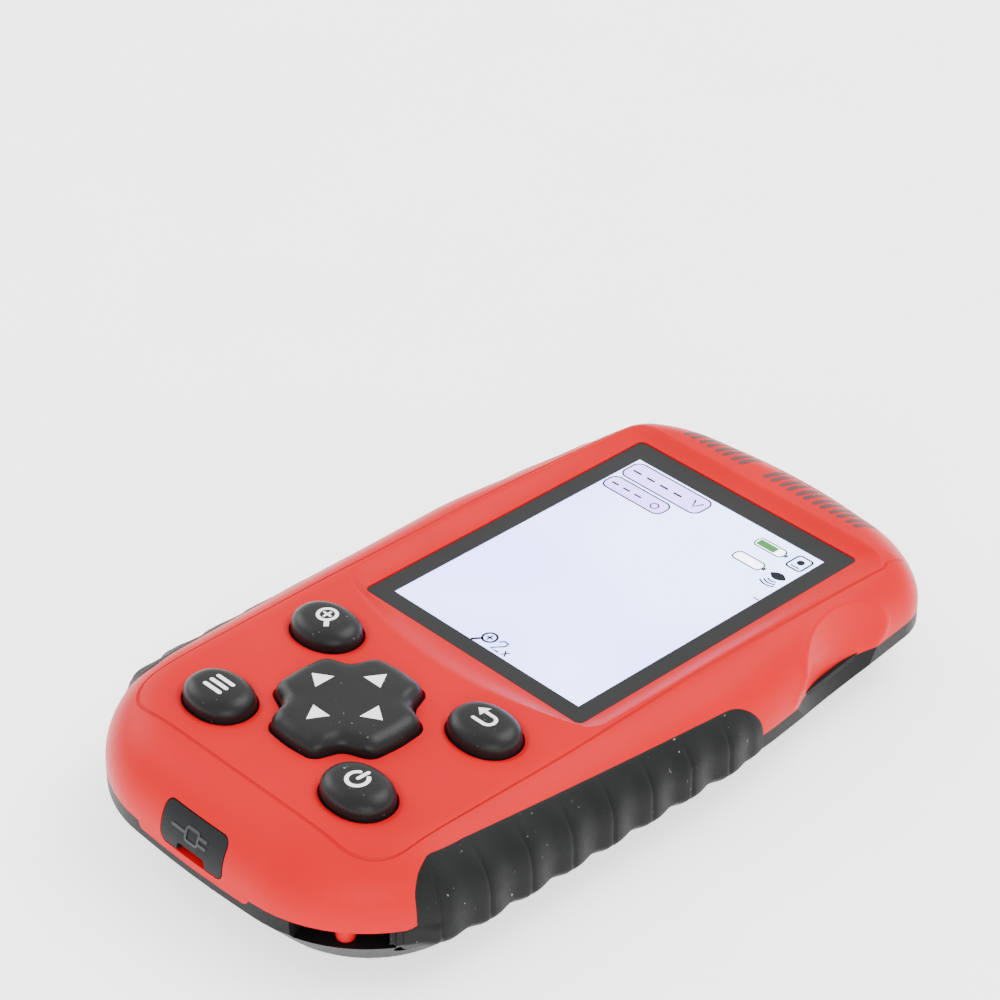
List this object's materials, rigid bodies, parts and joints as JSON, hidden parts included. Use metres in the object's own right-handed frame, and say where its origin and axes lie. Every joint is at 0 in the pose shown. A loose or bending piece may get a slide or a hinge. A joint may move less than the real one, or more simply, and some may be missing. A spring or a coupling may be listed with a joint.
{
  "type": "handheld fish finder",
  "caption": "Handheld fish finder: two-shell body with rubber side grips, tall colour display, oval keys, four-way pad, covered charging port and lanyard post.",
  "frame": {"origin": "centre of the bounding box on the flat rear face", "axes": "+X to the right of the face, +Y towards the top end of the device, +Z out of the face with the display and keys"},
  "size_m": [0.08, 0.14, 0.0262],
  "materials": {
    "shell_red": "satin moulded plastic",
    "shell_black": "satin moulded plastic",
    "grip_rubber": "matte, fine moulded texture",
    "key_rubber": "matte silicone",
    "window_clear": "clear, polished",
    "lcd_glass": "polished",
    "white_plastic": "matte",
    "silicone_grey": "matte",
    "flex_amber": "satin",
    "board_green": "satin solder mask",
    "chip_black": "matte",
    "shield_steel": "satin",
    "dome_steel": "bright",
    "battery_wrap": "shrink film",
    "foam_grey": "open foam",
    "connector_white": "matte",
    "lead_sleeve": "satin",
    "screw_steel": "zinc plated",
    "copper_wire": "enamelled"
  },
  "bodies": {
    "housing": {"front_shell": "shell_red", "rear_shell": "shell_black", "left_grip": "grip_rubber", "right_grip": "grip_rubber", "display_window": "window_clear", "window_gasket": "foam_grey", "lcd_glass": "lcd_glass", "lcd_backlight": "white_plastic", "lcd_frame": "white_plastic", "lcd_flex": "flex_amber", "flex_connector": "connector_white", "keypad_mat": "silicone_grey", "snap_domes": "dome_steel", "main_board": "board_green", "board_chips": "chip_black", "radio_module": "shield_steel", "antenna": "copper_wire", "buzzer": "chip_black", "usb_socket": "shield_steel", "battery_cell": "battery_wrap", "battery_pad": "foam_grey", "battery_connector": "connector_white", "battery_lead": "lead_sleeve", "housing_seal": "silicone_grey", "case_screws": "screw_steel", "board_screws": "screw_steel"},
    "port_cover": {"usb_cover": "grip_rubber"},
    "zoom_key": {"zoom_key": "key_rubber"},
    "escape_key": {"escape_key": "key_rubber"},
    "menu_key": {"menu_key": "key_rubber"},
    "power_key": {"power_key": "key_rubber"},
    "pad_core": {"dpad_core": "white_plastic"},
    "pad": {"dpad_cap": "key_rubber"}
  },
  "joints": [
    {"name": "zoom_press", "type": "slide", "parent": "housing", "child": "zoom_key", "axis": [0, 0, -1], "range_m": [0, 0.0008], "stiffness_N_per_m": 1000},
    {"name": "escape_press", "type": "slide", "parent": "housing", "child": "escape_key", "axis": [0, 0, -1], "range_m": [0, 0.0008], "stiffness_N_per_m": 1000},
    {"name": "menu_press", "type": "slide", "parent": "housing", "child": "menu_key", "axis": [0, 0, -1], "range_m": [0, 0.0008], "stiffness_N_per_m": 1000},
    {"name": "power_press", "type": "slide", "parent": "housing", "child": "power_key", "axis": [0, 0, -1], "range_m": [0, 0.0008], "stiffness_N_per_m": 1000},
    {"name": "pad_tilt_up_down", "type": "hinge", "parent": "housing", "child": "pad_core", "pos_m": [0, -0.03788, 0.01815], "axis": [1, 0, 0], "range_deg": [-3, 3], "stiffness_Nm_per_rad": 0.3},
    {"name": "pad_tilt_left_right", "type": "hinge", "parent": "pad_core", "child": "pad", "pos_m": [0, -0.03788, 0.01815], "axis": [0, 1, 0], "range_deg": [-3, 3], "stiffness_Nm_per_rad": 0.3},
    {"name": "port_cover_hinge", "type": "hinge", "parent": "housing", "child": "port_cover", "pos_m": [0, -0.06778, 0.0187], "axis": [-1, 0, 0], "range_deg": [0, 100], "stiffness_Nm_per_rad": 0.0004}
  ]
}
